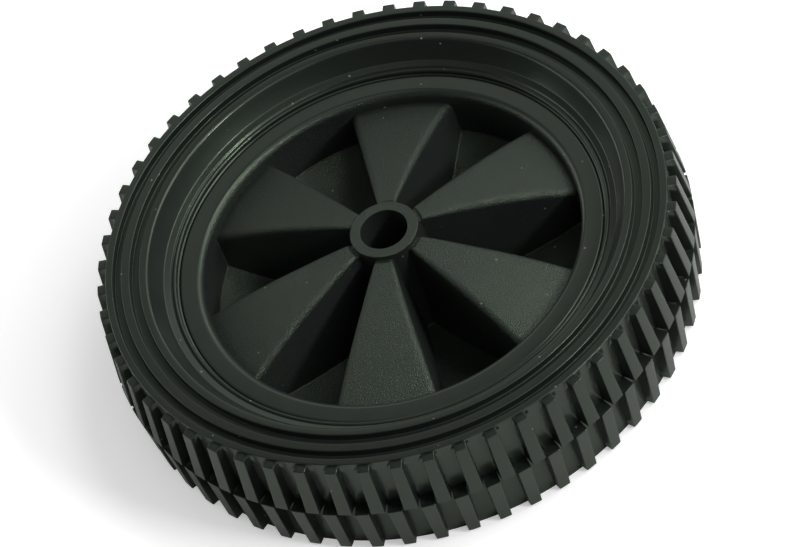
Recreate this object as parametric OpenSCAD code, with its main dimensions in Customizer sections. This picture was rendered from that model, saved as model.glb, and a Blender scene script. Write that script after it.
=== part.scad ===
// Garden machine wheel: a ribbed plastic tyre on a moulded wheel body with a corrugated centre.
// The wheel lies on its back face, the axle bore runs along Z and the origin is on the bore's
// axis at the back face. The X axis runs along the middle of a front spoke. Millimetres.

/* [Tyre] */
// Diameter over the tread, at the middle of the tyre
tyre_d = 150; // [146:1:170]
// Width of the tyre over its side faces
tyre_w = 32; // [28:0.5:40]
// Height of the lugs at the middle of the tyre
tread_depth = 3.6; // [2.5:0.1:5]
// Drop of the lug tops from the middle to each shoulder
tread_crown = 1.4; // [0:0.1:2]
// Distance from a side face to the lug ends
lug_inset = 0.6; // [0.3:0.1:2]

/* [Lugs] */
// Lugs in each of the two rows
lug_count = 57; // [40:1:64]
// Width of a lug's foot at the shoulder
lug_w = 3.25; // [2:0.05:3.6]
// Lean of the lug flanks towards the lug top, in degrees
lug_taper = 3; // [0:0.5:6]
// Turn of the front row against the spokes, in degrees
tread_turn = 4.5; // [0:0.1:6.3]

/* [Side faces of the tyre] */
// Radial width of the land next to the tread
outer_land_w = 1.9; // [1:0.1:3]
// Fall of that land towards the lug ends, which stand a little lower
land_fall = 0.45; // [0:0.05:1]
// Radial width of the outer groove
outer_groove_w = 2.1; // [1:0.1:3]
// Radial width of the ridge between the grooves
ridge_w = 2.3; // [1:0.1:3]
// Radial width of the inner groove
inner_groove_w = 2.4; // [1:0.1:3]
// Radial width of the land at the edge of the bowl
inner_land_w = 2.1; // [1:0.1:3]
// Depth of both grooves
groove_depth = 1.85; // [0.5:0.05:2.5]
// Radius of the bowl's hollow wall
bowl_r = 40; // [14:1:60]
// Depth of the ledge at the foot of the bowl, from the side face
ledge_depth = 5; // [3:0.1:6.5]
// Radial width of the ledge
ledge_w = 1.6; // [0.5:0.1:2]
// Fall of the ledge towards the bead
ledge_fall = 0.45; // [0:0.05:1]
// Height of the step up to the ledge from the valley next to the bead
step_h = 0.4; // [0.2:0.1:1.5]
// Radial width of that step
step_w = 0.3; // [0.2:0.1:1]
// Distance from the middle of the bead to the foot of the step
valley_w = 0.6; // [0.55:0.05:1.5]
// Depth of the bead at the tyre's lip, from the side face
bead_depth = 5.6; // [3.5:0.1:7]
// Radius of the bead
bead_r = 0.6; // [0.3:0.1:1]

/* [Rim] */
// Diameter of the rim flanges
rim_d = 108.4; // [100:0.2:112]
// Width of the rim over its flanges
rim_w = 18.5; // [12:0.5:24]
// Width of each flange
flange_w = 2.5; // [2.2:0.1:4]
// Rounding of the flanges' outer edges
flange_round = 0.8; // [0.5:0.1:2]
// Diameter of the tyre seat between the flanges
seat_d = 101; // [98.5:0.5:104]
// Clearance between the tyre's tongue and its seat
seat_gap = 0.1; // [0.05:0.05:0.3]
// Gap between a flange's edge and the tyre's lip
lip_gap = 0.4; // [0.2:0.1:1.5]
// Wall of the rim between the tyre seat and the opening inside it, at the flange faces
rim_t = 2.4; // [2:0.1:4]
// Rounding of the rim's inner edge
rim_round = 1.9; // [1:0.1:3]

/* [Spokes] */
// Front spokes, with as many back spokes between them
spoke_count = 6; // [4:1:9]
// Angle that a front spoke fills, in degrees
spoke_angle = 30.3; // [24:0.1:36]
// Wall of the spoke faces and of the webs between them
web_t = 1.4; // [1:0.1:2]
// Dome radius of the spoke faces
dome_r = 130; // [110:1:400]
// Depth of the dome's crown behind the tyre's side face
crown_inset = 1.1; // [0.8:0.1:4]
// Draft of the pockets, in degrees
pocket_draft = 3.5; // [0.5:0.5:5]

/* [Hub] */
// Diameter of the axle bore
bore_d = 12; // [8:0.1:13]
// Outer diameter of the hub
hub_d = 17.4; // [16:0.2:24]
// Depth of the hub's ends behind the tyre's side faces
hub_inset = 0.5; // [0:0.1:2]
// Solid spoke root beyond the hub, at the inner end of the back pockets
root_w = 3; // [1:0.5:6]

/* [Hidden] */
$fn = 96;
cut = 1;
lap = 0.5;
mid_z = tyre_w / 2;

floor_r = tyre_d / 2 - tread_depth;
shoulder_r = tyre_d / 2 - tread_crown;
lug_l = mid_z - lug_inset;
lug_pitch = 360 / lug_count;
lug_lap = 0.15;
row_lap = 0.05;
lug_mid_w = 2 * floor_r * sin(lug_pitch / 4) + lug_lap;
lug_lean = atan((lug_mid_w - lug_w) / 2 / lug_l);

outer_groove_r = floor_r - outer_land_w;
ridge_r = outer_groove_r - outer_groove_w;
inner_groove_r = ridge_r - ridge_w;
inner_land_r = inner_groove_r - inner_groove_w;
bowl_edge_r = inner_land_r - inner_land_w;
lip_r = rim_d / 2 + lip_gap;

rim_depth = (tyre_w - rim_w) / 2;
rim_inner_r = seat_d / 2 - rim_t;
hub_r = hub_d / 2;
edge_z = tyre_w - (crown_inset + rim_depth) / 2;
reach = rim_d;

// Points along a circle arc, from angle a0 to a1
function arc(center, r, a0, a1, steps) =
    [for (i = [0:steps]) center + r * [cos(a0 + (a1 - a0) * i / steps), sin(a0 + (a1 - a0) * i / steps)]];

// Points along an arc of radius r from p to q that bulges to the right of that way
function arc_between(p, q, r, steps) =
    let (d = q - p, half = norm(d) / 2, n = [-d.y, d.x] / norm(d))
    let (c = (p + q) / 2 + n * sqrt(r * r - half * half))
    let (a0 = atan2(p.y - c.y, p.x - c.x), turn = 2 * asin(half / r))
    arc(c, r, a0, a0 + turn, steps);

function reverse(points) = [for (i = [len(points) - 1:-1:0]) points[i]];

// The same outline on the other half of the wheel
function mirrored(points) = [for (p = reverse(points)) [p.x, tyre_w - p.y]];

// Front half of the tyre's section, from the tread round to the middle of the tongue
function tyre_half() = let (
    top = tyre_w,
    groove_z = tyre_w - groove_depth,
    bead = [lip_r + bead_r, tyre_w - bead_depth - bead_r],
    step_foot = [bead.x + valley_w, tyre_w - ledge_depth - ledge_fall - step_h],
    step_top = step_foot + [step_w, step_h],
    tongue_z = tyre_w - rim_depth - flange_w - seat_gap,
    tongue_r = seat_d / 2 + seat_gap,
    side = 0.1
) concat(
    [
        [floor_r, top - min(land_fall, lug_inset - row_lap)],
        [outer_groove_r, top],
        [outer_groove_r - side, groove_z],
        [ridge_r + side, groove_z],
        [ridge_r, top],
        [inner_groove_r, top],
        [inner_groove_r - side, groove_z],
        [inner_land_r + side, groove_z],
        [inner_land_r, top]
    ],
    reverse(arc_between(step_top + [ledge_w, ledge_fall], [bowl_edge_r, top], bowl_r, 6)),
    [step_top, step_foot],
    arc(bead, bead_r, 30, 180, 5),
    [[lip_r, tongue_z], [tongue_r, tongue_z]]
);

// One lug of the front row, with drafted flanks, on the X axis
module lug() {
    difference() {
        rotate([90, 0, 0]) linear_extrude(2 * lug_mid_w, center = true) polygon([
            [floor_r - cut, mid_z - row_lap],
            [tyre_d / 2, mid_z - row_lap],
            [shoulder_r, mid_z + lug_l],
            [floor_r - cut, mid_z + lug_l]
        ]);
        for (side = [0, 1]) mirror([0, side, 0])
            translate([floor_r, lug_w / 2, mid_z + lug_l]) rotate([lug_lean, 0, -lug_taper])
                translate([-4 * cut, 0, -2 * lug_l]) cube([4 * tread_depth, 2 * lug_mid_w, 3 * lug_l]);
    }
}

module tyre() {
    color([0.16, 0.17, 0.16]) union() {
        rotate_extrude() polygon(concat(tyre_half(), mirrored(tyre_half())));
        for (i = [0:lug_count - 1]) {
            rotate(tread_turn + i * lug_pitch) lug();
            rotate(tread_turn + (i + 0.5) * lug_pitch) translate([0, 0, tyre_w]) mirror([0, 0, 1]) lug();
        }
    }
}

// Outline of the front faces' dome, or of a smaller dome around the same centre
module dome(r) {
    translate([0, tyre_w - crown_inset - dome_r]) intersection() {
        circle(r, $fn = 720);
        translate([0, -r]) square([rim_d, 2 * r]);
    }
}

// Front half of the body's section: rim with rounded edges, domed spoke face and hub
module body_half() {
    flange_z = tyre_w - rim_depth;
    difference() {
        union() {
            translate([rim_inner_r, mid_z]) square([rim_d / 2 - rim_inner_r, rim_w / 2]);
            intersection() {
                translate([0, mid_z]) square([rim_inner_r + lap, tyre_w]);
                dome(dome_r);
            }
            translate([0, mid_z]) square([hub_r, mid_z - hub_inset]);
        }
        square([bore_d / 2, tyre_w]);
        translate([seat_d / 2, 0]) square([rim_d, flange_z - flange_w]);
        difference() {
            translate([rim_inner_r - cut, flange_z - rim_round]) square(rim_round + cut);
            translate([rim_inner_r + rim_round, flange_z - rim_round]) circle(rim_round);
            dome(dome_r);
        }
        translate([rim_d / 2 - flange_round, flange_z - flange_round]) difference() {
            square(flange_round + cut);
            circle(flange_round);
        }
    }
}

// Section of a ring of pockets opened from the front: drafted rim and hub walls, domed floor
module pocket_section(inner_r) {
    slope = tan(pocket_draft);
    difference() {
        polygon([
            [inner_r, tyre_w + cut],
            [rim_inner_r, tyre_w + cut],
            [rim_inner_r, tyre_w - rim_depth],
            [rim_inner_r - rim_w * slope, rim_depth],
            [rim_inner_r - rim_w * slope, 0],
            [inner_r + tyre_w * slope, 0]
        ]);
        difference() {
            translate([0, -cut]) square([rim_d, tyre_w]);
            translate([0, tyre_w]) mirror([0, 1]) dome(dome_r - web_t);
        }
    }
}

// Wedge between the flanks of a front spoke, each flank moved in by a wall
module spoke_wedge(wall) {
    intersection_for(side = [0, 1])
        mirror([0, side, 0]) rotate(spoke_angle / 2) translate([0, 0, edge_z]) rotate([pocket_draft, 0, 0])
            translate([0, -reach - wall, -2 * tyre_w]) cube([reach, reach, 3 * tyre_w]);
}

module front_pockets() {
    difference() {
        rotate_extrude() pocket_section(hub_r);
        for (i = [0:spoke_count - 1]) rotate(i * 360 / spoke_count) spoke_wedge(0);
    }
}

module back_pockets() {
    intersection() {
        translate([0, 0, tyre_w]) mirror([0, 0, 1]) rotate_extrude() pocket_section(hub_r + root_w);
        for (i = [0:spoke_count - 1]) rotate(i * 360 / spoke_count) spoke_wedge(web_t);
    }
}

module wheel_body() {
    color([0.2, 0.21, 0.2]) difference() {
        rotate_extrude() {
            body_half();
            translate([0, tyre_w]) mirror([0, 1]) body_half();
        }
        front_pockets();
        back_pockets();
    }
}

tyre();
wheel_body();
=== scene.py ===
import math
import random

import bmesh
import bpy
from mathutils import Matrix, Vector


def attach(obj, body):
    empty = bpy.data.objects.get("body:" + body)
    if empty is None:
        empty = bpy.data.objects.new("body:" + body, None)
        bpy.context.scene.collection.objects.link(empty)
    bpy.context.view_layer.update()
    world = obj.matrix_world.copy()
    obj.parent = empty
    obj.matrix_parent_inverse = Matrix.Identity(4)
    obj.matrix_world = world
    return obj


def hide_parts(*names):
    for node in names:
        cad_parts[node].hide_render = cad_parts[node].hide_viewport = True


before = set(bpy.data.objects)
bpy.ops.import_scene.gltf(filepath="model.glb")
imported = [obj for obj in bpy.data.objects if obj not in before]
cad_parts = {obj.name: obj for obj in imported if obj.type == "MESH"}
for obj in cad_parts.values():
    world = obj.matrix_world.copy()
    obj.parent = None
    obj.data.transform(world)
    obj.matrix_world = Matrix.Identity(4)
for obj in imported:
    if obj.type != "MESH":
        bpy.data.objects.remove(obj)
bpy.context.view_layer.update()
mm = 0.001

# Wheel body: the rim, the corrugated centre and the hub are one hard plastic moulding. Six front
# spokes and six back spokes are the faces of one folded wall, so each pocket's floor is the inner
# side of the spoke behind it. Long edges are rounded, corners filleted, faces spark-eroded matt.
wheel_w = 32.0
spokes = 6
dome_r, crown_inset, wall = 130.0, 1.1, 1.4
front_half, back_half = 14.85, 15.15
draft = math.tan(math.radians(3.5))
rim_r, rim_inner_r, rim_round, rim_face = 54.2, 48.1, 1.9, 25.25
flank_level = (wheel_w - crown_inset + rim_face) / 2
seat_r, flange_w = 50.5, 2.5
hub_r, bore_r, hub_face = 8.7, 6.0, 31.5
spoke_edge_round, corner_fillet = 1.7, 0.45


def grid(bm, rows, kind):
    """Adds a sheet of quads through rows of points in millimetres, all of one kind."""
    tag = bm.faces.layers.int.get("kind") or bm.faces.layers.int.new("kind")
    verts = [[bm.verts.new(Vector(p) * mm) for p in row] for row in rows]
    for a, b in zip(verts, verts[1:]):
        for i in range(len(a) - 1):
            face = bm.faces.new((a[i], a[i + 1], b[i + 1], b[i]))
            face[tag] = kind
            face.smooth = True


def lathe(bm, section, angles, kind):
    """Turns a section of (radius, height) points through the closed list of angles, in degrees."""
    closed = list(angles) + [angles[0] + 360]
    grid(bm, [[turned(r, z, a) for a in closed] for r, z in section], kind)


def turned(r, z, angle):
    a = math.radians(angle)
    return (r * math.cos(a), r * math.sin(a), z)


def arc(center, r, start, end, steps):
    return [
        (center[0] + r * math.cos(a), center[1] + r * math.sin(a))
        for a in (math.radians(start + (end - start) * i / steps) for i in range(steps + 1))
    ]


def rounded(points, steps=4):
    """An outline from (x, y, tangent length) points, each corner with a tangent length as an arc."""
    out = [points[0][:2]]
    for before, (x, y, size), after in zip(points, points[1:], points[2:]):
        corner = Vector((x, y))
        if not size:
            out.append((x, y))
            continue
        back = (Vector(before[:2]) - corner).normalized()
        on = (Vector(after[:2]) - corner).normalized()
        center = corner + (back + on).normalized() * size / math.cos(back.angle(on) / 2)
        start, end = corner + back * size - center, corner + on * size - center
        out += [tuple(center + start.slerp(end, i / steps).normalized() * start.length) for i in range(steps + 1)]
    return out + [points[-1][:2]]


def finish_mesh(bm, name, rounds, width, segments):
    """Joins the sheets into one closed skin. Edges between two kinds in rounds get that rounding."""
    bmesh.ops.remove_doubles(bm, verts=bm.verts, dist=0.003 * mm)
    bmesh.ops.recalc_face_normals(bm, faces=bm.faces)
    tag = bm.faces.layers.int["kind"]
    soft = bm.edges.layers.float.new("bevel_weight_edge")
    for edge in bm.edges:
        edge[soft] = rounds.get(frozenset(f[tag] for f in edge.link_faces), 0) / width
        if len(edge.link_faces) == 2 and not edge[soft]:
            edge.smooth = edge.calc_face_angle(0) < math.radians(28)
    mesh = bpy.data.meshes.new(name)
    bm.to_mesh(mesh)
    bm.free()
    piece = bpy.data.objects.new(name, mesh)
    bpy.context.scene.collection.objects.link(piece)
    bevel = piece.modifiers.new("rounded edges", "BEVEL")
    bevel.limit_method, bevel.width, bevel.segments = "WEIGHT", width * mm, segments
    bevel.use_clamp_overlap = False
    normals = piece.modifiers.new("even shading", "WEIGHTED_NORMAL")
    normals.keep_sharp = True
    return piece


def dome_z(r):
    return wheel_w - crown_inset - dome_r + math.sqrt(dome_r**2 - r * r)


def floor_z(r):
    return crown_inset + dome_r - math.sqrt((dome_r - wall) ** 2 - r * r)


def face_z(r):
    """Height of the spoke faces: the dome, with a fine sunk ring next to the hub's collar."""
    share = min(1, max(0, (9.9 - r) / 0.6))
    return dome_z(r) - 0.5 * share**2 * (3 - 2 * share)


def rim_wall(z):
    above = min(z - rim_face + rim_round, rim_round)
    if above > 0:
        return rim_inner_r + rim_round - math.sqrt(rim_round**2 - above**2)
    return rim_inner_r + above * draft


def hub_wall(z, inner_r):
    return inner_r + max(0, face_z(inner_r) - z) * draft


FLOOR, CORNER, FLANK, EDGE, FACE, RIM_WALL, HUB_WALL, RIM, HUB = range(1, 10)
arc_steps, span_steps = 5, 6
section_kinds = [FLOOR] * span_steps + [CORNER] * arc_steps + [FLANK] * span_steps
section_kinds += [EDGE] * arc_steps + [FACE] * span_steps
foot_end = span_steps + arc_steps // 2
edge_end = section_kinds.index(FACE)


def half_section(r, half, inset, level):
    """From a pocket's middle to the next spoke's middle at radius r, as (angle, height) points."""
    def flank(z):
        return math.radians(half) * r - r * math.asin((inset + (level - z) * draft) / r)

    low, high, middle = floor_z(r), face_z(r), math.pi / spokes * r
    foot, top = flank(low), flank(high)
    fillet, edge = min(corner_fillet, foot / 2), min(spoke_edge_round, 0.075 * r)
    line = rounded([(0, low, 0), (foot, low, fillet), (top, high, edge), (middle, high, 0)], arc_steps)
    out = [line[0]]
    for p, q in zip(line, line[1:]):
        span = line.index(p) in (0, arc_steps + 1, 2 * arc_steps + 2)
        steps = span_steps if span else 1
        out += [(p[0] + (q[0] - p[0]) * i / steps, p[1] + (q[1] - p[1]) * i / steps) for i in range(1, steps + 1)]
    return [(math.degrees(x / r), z) for x, z in out]


def pocket_line(share, inner_r, *shape):
    """The half section that lies a share of the way from the hub's wall to the rim's wall."""
    line = [(inner_r + (rim_inner_r - inner_r) * share, 0, 0)] * (len(section_kinds) + 1)
    for _ in range(4):
        line = [(r, *half_section(r, *shape)[j]) for j, (r, a, z) in enumerate(line)]
        line = [(hub_wall(z, inner_r) * (1 - share) + rim_wall(z) * share, a, z) for r, a, z in line]
    return line


def body_side(bm, half, inset, level, inner_r, first, back):
    """One side of the corrugated centre. Returns the angles of its rings at the rim and the hub."""
    shares = (0, 0.012, 0.02, 0.028, 0.036, 0.045, 0.06, 0.09, 0.13, 0.19, 0.26, 0.34, 0.43)
    shares += (0.52, 0.61, 0.7, 0.79, 0.87, 0.94, 0.985, 1)
    lines = [pocket_line(share, inner_r, half, inset, level) for share in shares]

    def put(r, a, z):
        return turned(r, wheel_w - z if back else z, a)

    rings = []
    for k in range(spokes):
        middle = first + 360 / spokes * k
        for side in (-1, 1):
            for j, kind in enumerate(section_kinds):
                pair = [[put(r, middle + side * a, z) for r, a, z in line[j:j + 2]] for line in lines]
                grid(bm, pair, kind)
        for line, kind, wall in ((lines[-1], RIM_WALL, rim_wall), (lines[0], HUB_WALL, lambda z: hub_wall(z, inner_r))):
            side = line[foot_end:edge_end + 1]
            rows = []
            for j, (r, a, z) in enumerate(side):
                sink = 1 - j / (len(side) - 1)
                row = []
                for i in range(-foot_end, foot_end + 1):
                    share = i / foot_end
                    foot_a = line[abs(i)][1] * (1 if i > 0 else -1)
                    height = z + sink * (line[abs(i)][2] - side[0][2])
                    angle = a * share + sink * (foot_a - side[0][1] * share)
                    row.append(put(wall(height), middle + angle, height))
                rows.append(row)
            grid(bm, rows, kind)
            top = side[-1][1]
            ring = [middle + top * i / foot_end for i in range(-foot_end, foot_end)]
            face = [a for r, a, z in line[edge_end:]]
            ring += [middle + a for a in face[:-1]] + [middle + 360 / spokes - a for a in face[:0:-1]]
            rings.append(ring)
    return sum(rings[0::2], []), sum(rings[1::2], [])


body = bmesh.new()
rim_front, hub_front = body_side(body, front_half, 0.0, flank_level, hub_r, 180 / spokes, False)
rim_back, hub_back = body_side(body, back_half, wall, wheel_w - flank_level, hub_r + 3, 360 / spokes, True)

crease_r, _, crease_z = pocket_line(1, hub_r, front_half, 0.0, flank_level)[-1]
half_rim = [(crease_r, crease_z)] + arc((rim_inner_r + rim_round, rim_face - rim_round), rim_round, 180, 90, 9)
half_rim += rounded([
    (rim_inner_r + rim_round, rim_face, 0),
    (rim_r, rim_face, 0.8),
    (rim_r, rim_face - flange_w, 0.2),
    (seat_r, rim_face - flange_w, 0.2),
    (seat_r, wheel_w / 2, 0),
])[1:]
lathe(body, half_rim, rim_front, RIM)
lathe(body, [(r, wheel_w - z) for r, z in half_rim], rim_back, RIM)

collar = rounded([(hub_r, face_z(hub_r), 0), (hub_r, hub_face, 0.3), (bore_r, hub_face, 0.15), (bore_r, wheel_w / 2, 0)])
lathe(body, collar, hub_front, HUB)
root = [(hub_r + w, wheel_w - face_z(hub_r + w)) for w in (3, 2.2, 1.4, 1.2, 1.05, 0.9, 0.75, 0.6, 0)]
lathe(body, root, hub_back, FACE)
lathe(body, [(r, wheel_w - z) for r, z in collar], hub_back, HUB)

body_rounds = {
    frozenset((kind, wall_kind)): 0.35
    for kind in (FLOOR, CORNER, FLANK)
    for wall_kind in (RIM_WALL, HUB_WALL)
}
wheel_body = finish_mesh(body, "wheel_body_moulding", body_rounds, 0.35, 2)
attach(wheel_body, "root")
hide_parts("wheel_body")


class Socket:
    """A node's output. Operators on it add Math nodes, so shader maths reads as an expression."""

    def __init__(self, tree, socket):
        self.tree, self.socket = tree, socket

    def math(self, operation, other, swapped=False):
        a, b = (other, self) if swapped else (self, other)
        kind = "ShaderNodeVectorMath" if self.socket.type == "VECTOR" else "ShaderNodeMath"
        return node(self.tree, kind, {"operation": operation}, {0: a, 1: b})

    def __add__(self, other):
        return self.math("ADD", other)

    __radd__ = __add__

    def __sub__(self, other):
        return self.math("SUBTRACT", other)

    def __rsub__(self, other):
        return self.math("SUBTRACT", other, True)

    def __mul__(self, other):
        return self.math("MULTIPLY", other)

    __rmul__ = __mul__


def node(tree, kind, settings, inputs, output=0):
    """Adds a node, sets its settings and then the values or links of its sockets."""
    made = tree.nodes.new(kind)
    for name, value in settings.items():
        if name == "stops":
            for element, (place, colour) in zip(made.color_ramp.elements, value):
                element.position, element.color = place, (*colour, 1)
        else:
            setattr(made, name, value)
    for name, value in inputs.items():
        if isinstance(value, Socket):
            tree.links.new(value.socket, made.inputs[name])
        else:
            made.inputs[name].default_value = value
    return Socket(tree, made.outputs[output])


def plastic(name, dark, light, ior, grain_size, grain_height, grain_r, matt, polished, share):
    """Black moulded plastic: slow changes of shade, a grain up to grain_r and a faintly green gloss. A
    share of the skin is polished by the mould and the rest stays matt, each with its own roughness."""
    material = bpy.data.materials.new(name)
    material.use_nodes = True
    tree = material.node_tree
    place = node(tree, "ShaderNodeTexCoord", {}, {}, "Object")
    cloud = node(tree, "ShaderNodeTexNoise", {}, {"Vector": place, "Scale": 45.0, "Detail": 4.0})
    haze = node(tree, "ShaderNodeTexNoise", {}, {"Vector": place, "Scale": 260.0, "Detail": 3.0})
    grain = node(tree, "ShaderNodeTexNoise", {}, {"Vector": place, "Scale": 1 / (grain_size * mm), "Detail": 2.0})
    shade = cloud * 0.6 + haze * 0.4
    colour = node(tree, "ShaderNodeMix", {"data_type": "RGBA"}, {0: shade, 6: (*dark, 1), 7: (*light, 1)}, 2)
    radius = node(tree, "ShaderNodeVectorMath", {"operation": "LENGTH"}, {0: place * Vector((1, 1, 0))}, 1)
    grained = node(tree, "ShaderNodeMapRange", {}, {0: radius, 1: grain_r * mm, 2: (grain_r + 1) * mm, 3: 1.0, 4: 0.0})
    dust = node(tree, "ShaderNodeTexVoronoi", {}, {"Vector": place, "Scale": 180.0}).math("LESS_THAN", 0.045)
    colour = node(tree, "ShaderNodeMix", {"data_type": "RGBA"}, {0: dust, 6: colour, 7: (0.16, 0.17, 0.15, 1)}, 2)
    bump = node(tree, "ShaderNodeBump", {}, {"Height": (grain - 0.5) * grained, "Strength": 1.0, "Distance": grain_height * mm})
    skins = [
        node(tree, "ShaderNodeBsdfPrincipled", {}, {
            "Base Color": colour,
            "Roughness": roughness - 0.05 + 0.1 * haze,
            "IOR": ior,
            "Specular Tint": (0.79, 1.0, 0.73, 1),
            "Normal": bump,
        })
        for roughness in (matt, polished)
    ]
    both = node(tree, "ShaderNodeMixShader", {}, {0: share, 1: skins[0], 2: skins[1]})
    tree.links.new(both.socket, tree.nodes["Material Output"].inputs["Surface"])
    tree.nodes.remove(tree.nodes["Principled BSDF"])
    return material


wheel_body.data.materials.append(
    plastic("matt_moulded_plastic", (0.0098, 0.0117, 0.0117), (0.0143, 0.0166, 0.0158), 1.56, 0.3, 0.27, rim_inner_r, 0.5, 0.22, 0.6)
)

# Tyre: one softer, smoother plastic moulding held between the rim's flanges. Two rows of lugs meet
# at the mould's parting plane, half a pitch apart, and each lug widens towards that plane because
# the mould halves draw sideways. Both side faces have two grooves, a hollow bowl and a fine bead.
tread_r, shoulder_r, gap_r = 75.0, 73.6, 71.4
lugs, lug_w, lug_inset, lug_taper = 57, 3.25, 0.6, math.tan(math.radians(3))
tread_turn = 4.5
lip_r, bead_r, bead_depth, bowl_r, ledge_depth = 54.6, 0.6, 5.6, 40.0, 5.0
groove_depth = 1.85
TOP, LUG_SIDE, GAP, LUG_END, SIDE = range(1, 6)


def row_angles(t):
    """Half angles of a lug's foot and top at t, from the shoulder at 0 to the middle at 1."""
    half_foot = lug_w / 2 + (gap_r * math.sin(math.radians(90 / lugs)) - lug_w / 2) * t
    crest = shoulder_r + (tread_r - shoulder_r) * t
    half_top = half_foot - (crest - gap_r) * lug_taper
    return math.degrees(math.asin(half_foot / gap_r)), math.degrees(math.asin(half_top / crest)), crest


def tread_row(bm, first, back):
    """One row of lugs with the gaps between them. Returns the angles of its shoulder ring."""
    steps, pitch = 6, 360 / lugs
    end_z = wheel_w - lug_inset

    def put(r, t, a):
        z = end_z - (end_z - wheel_w / 2) * t
        return turned(r, wheel_w - z if back else z, a)

    ring = []
    for k in range(lugs):
        c = first + k * pitch
        levels = [(j / steps, *row_angles(j / steps)) for j in range(steps + 1)]
        thirds = (-1, -1 / 3, 1 / 3, 1)
        grid(bm, [[put(crest, t, c + top * s) for s in thirds] for t, foot, top, crest in levels], TOP)
        for s in (-1, 1):
            side = [[put(gap_r, t, c + foot * s), put(crest, t, c + top * s)] for t, foot, top, crest in levels]
            grid(bm, side, LUG_SIDE)
        gap = [
            [put(gap_r, t, c + pitch / 2 + (pitch / 2 - foot) * s) for s in thirds]
            for t, foot, top, crest in levels
        ]
        grid(bm, gap, GAP)
        for t, foot, top, crest in (levels[0], levels[-1]):
            grid(bm, [[put(gap_r, t, c + foot * s) for s in thirds], [put(crest, t, c + top * s) for s in thirds]], LUG_END)
        foot = levels[0][1]
        ring += [c + foot * s for s in (-1, -1 / 3, 1 / 3)]
        ring += [c + pitch / 2 + (pitch / 2 - foot) * s for s in (-1, -1 / 3, 1 / 3)]
    return ring


def wall_between(foot, top, r, steps):
    """Points of the bowl's hollow wall, from its top to its foot, without the two ends."""
    across = Vector(foot) - Vector(top)
    center = Vector(top) + across / 2 + Vector((across.y, -across.x)).normalized() * math.sqrt(r * r - (across.length / 2) ** 2)
    start, end = (Vector(p) - center for p in (top, foot))
    return [(*(center + start.slerp(end, (i + 1) / (steps + 1)).normalized() * r), 0) for i in range(steps)]


side_z, groove_z, ledge_z = wheel_w, wheel_w - groove_depth, wheel_w - ledge_depth
bead = (lip_r + bead_r, wheel_w - bead_depth - bead_r)
bowl_edge, ledge_end = (gap_r - 10.8, side_z - 0.05), (bead[0] + 2.5, ledge_z)
side_face = rounded([
    (gap_r, side_z - lug_inset, 0),
    (gap_r, side_z, 0.28),
    (gap_r - 1.9, side_z, 0.28),
    (gap_r - 2.0, groove_z, 0.25),
    (gap_r - 3.9, groove_z, 0.25),
    (gap_r - 4.0, side_z, 0.28),
    (gap_r - 6.3, side_z, 0.28),
    (gap_r - 6.4, groove_z, 0.25),
    (gap_r - 8.6, groove_z, 0.25),
    (gap_r - 8.7, side_z, 0.28),
    (*bowl_edge, 0.6),
    *wall_between(ledge_end, bowl_edge, bowl_r, 5)[1:],
    (*ledge_end, 0.2),
    (bead[0] + 0.9, ledge_z - 0.45, 0.12),
    (bead[0] + 0.6, ledge_z - 0.85, 0.12),
    (*arc(bead, bead_r, 30, 180, 1)[0], 0),
], 4)
side_face += arc(bead, bead_r, 30, 180, 8)[1:]
side_face += [(lip_r, 25.15), (rim_r + 0.04, 24.95), (rim_r + 0.04, 24.8), (lip_r, 24.6)]
side_face += [(lip_r, rim_face - flange_w - 0.1), (seat_r + 0.1, rim_face - flange_w - 0.1), (seat_r + 0.1, wheel_w / 2)]

tyre_bm = bmesh.new()
front_ring = tread_row(tyre_bm, tread_turn, False)
back_ring = tread_row(tyre_bm, tread_turn + 180 / lugs, True)
lathe(tyre_bm, side_face, front_ring, SIDE)
lathe(tyre_bm, [(r, wheel_w - z) for r, z in side_face], back_ring, SIDE)

tyre_rounds = {frozenset((TOP, LUG_SIDE)): 0.2, frozenset((TOP, LUG_END)): 0.2, frozenset((LUG_SIDE, LUG_END)): 0.2}
tyre = finish_mesh(tyre_bm, "tyre_moulding", tyre_rounds, 0.2, 2)
tyre.data.materials.append(
    plastic("smooth_soft_plastic", (0.0071, 0.009, 0.009), (0.0106, 0.0126, 0.0118), 1.55, 0.4, 0.015, 80, 0.5, 0.21, 0.6)
)
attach(tyre, "root")
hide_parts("tyre")

# Studio: a plain pale floor under the wheel, soft light from all round and three broad panels that
# put the bright bands on the rounded edges. The camera looks down on the front face from the left.
floor_mesh = bpy.data.meshes.new("floor")
size = 6.0
floor_mesh.from_pydata([(-size, -size, 0), (size, -size, 0), (size, size, 0), (-size, size, 0)], [], [(0, 1, 2, 3)])
floor = bpy.data.objects.new("floor", floor_mesh)
bpy.context.scene.collection.objects.link(floor)
paint = bpy.data.materials.new("white_floor")
paint.use_nodes = True
paint_shader = paint.node_tree.nodes["Principled BSDF"]
paint_shader.inputs["Base Color"].default_value = (0.9, 0.9, 0.9, 1)
paint_shader.inputs["Roughness"].default_value = 0.9
paint_shader.inputs["Emission Strength"].default_value = 1.0
seen = node(paint.node_tree, "ShaderNodeLightPath", {}, {}, "Is Camera Ray")
glow = node(paint.node_tree, "ShaderNodeMix", {"data_type": "RGBA"}, {0: seen, 6: (0, 0, 0, 1), 7: (0.4, 0.4, 0.4, 1)}, 2)
paint.node_tree.links.new(glow.socket, paint_shader.inputs["Emission Color"])
floor_mesh.materials.append(paint)

world = bpy.data.worlds.new("studio")
bpy.context.scene.world = world
world.use_nodes = True
backdrop = world.node_tree.nodes["Background"]
seen = node(world.node_tree, "ShaderNodeLightPath", {}, {}, "Is Camera Ray")
sky = node(world.node_tree, "ShaderNodeMix", {"data_type": "RGBA"}, {0: seen, 6: (0.05, 0.05, 0.05, 1), 7: (1, 1, 1, 1)}, 2)
world.node_tree.links.new(sky.socket, backdrop.inputs["Color"])
backdrop.inputs["Strength"].default_value = 1.0

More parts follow.
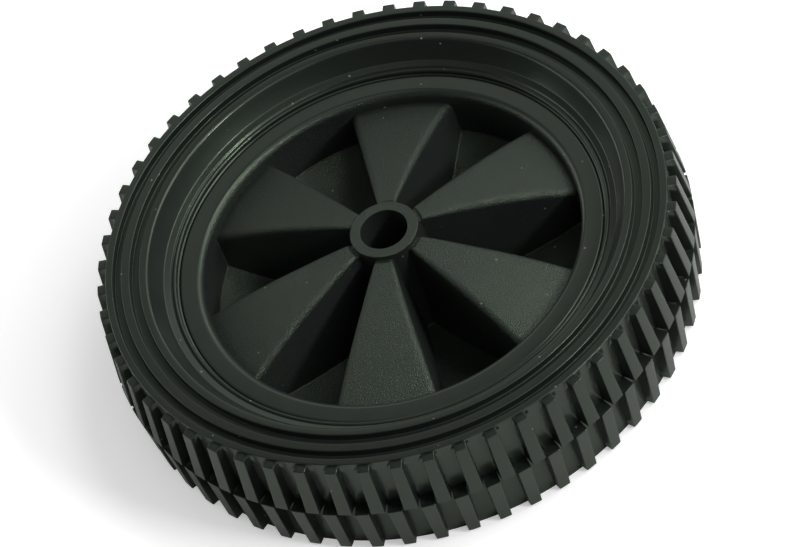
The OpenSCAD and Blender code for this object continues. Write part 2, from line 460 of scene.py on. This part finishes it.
view_turn = -10.76
aim = Matrix.Rotation(math.radians(view_turn), 4, "Z") @ Vector((-0.39, -15.76, wheel_w)) * mm
camera_distance, camera_height, camera_roll = 1.2948, 49.28, -22.08


def around(azimuth, elevation, distance):
    a, e = math.radians(azimuth + view_turn), math.radians(elevation)
    return Vector((math.sin(a) * math.cos(e), -math.cos(a) * math.cos(e), math.sin(e))) * distance


def panel(name, azimuth, elevation, distance, width, height, power):
    """A soft light panel that faces the wheel; azimuth counts from the camera's side."""
    lamp = bpy.data.lights.new(name, "AREA")
    lamp.shape, lamp.size, lamp.size_y, lamp.energy = "RECTANGLE", width, height, power
    light = bpy.data.objects.new(name, lamp)
    light.location = around(azimuth, elevation, distance)
    light.rotation_euler = light.location.to_track_quat("Z", "Y").to_euler()
    bpy.context.scene.collection.objects.link(light)


panel("panel_key", 51, 35, 1.8, 0.42, 0.2, 14.5)
panel("panel_front", 30, 41, 2.2, 1.7, 0.8, 7.2)
panel("panel_right_high", 98, 60, 2.0, 1.2, 0.5, 9.6)
panel("panel_right", 95, 35, 2.0, 1.3, 0.8, 11.7)
panel("panel_far_right", 132, 30, 2.0, 1.0, 1.0, 3.6)
panel("panel_far", 165, 34, 2.0, 2.0, 1.15, 5.8)
panel("panel_left_low", 238, 12, 2.0, 2.2, 0.8, 10.5)
panel("panel_left", 245, 34, 2.0, 2.2, 0.7, 4.5)
panel("panel_top", 0, 85, 2.0, 1.2, 1.2, 2.3)

camera = bpy.data.objects.new("camera", bpy.data.cameras.new("camera"))
camera.data.sensor_width, camera.data.lens = 36.0, 238.6
camera.data.clip_end = 20
back = around(0, camera_height, 1)
right = Vector((math.cos(math.radians(view_turn)), math.sin(math.radians(view_turn)), 0))
up = back.cross(right)
turn = Matrix((right, up, back)).transposed()
camera.matrix_world = (
    Matrix.Translation(aim + back * camera_distance)
    @ (turn @ Matrix.Rotation(math.radians(camera_roll), 3, "Z")).to_4x4()
)
bpy.context.scene.collection.objects.link(camera)
bpy.context.scene.camera = camera
bpy.context.scene.view_settings.view_transform = "Standard"
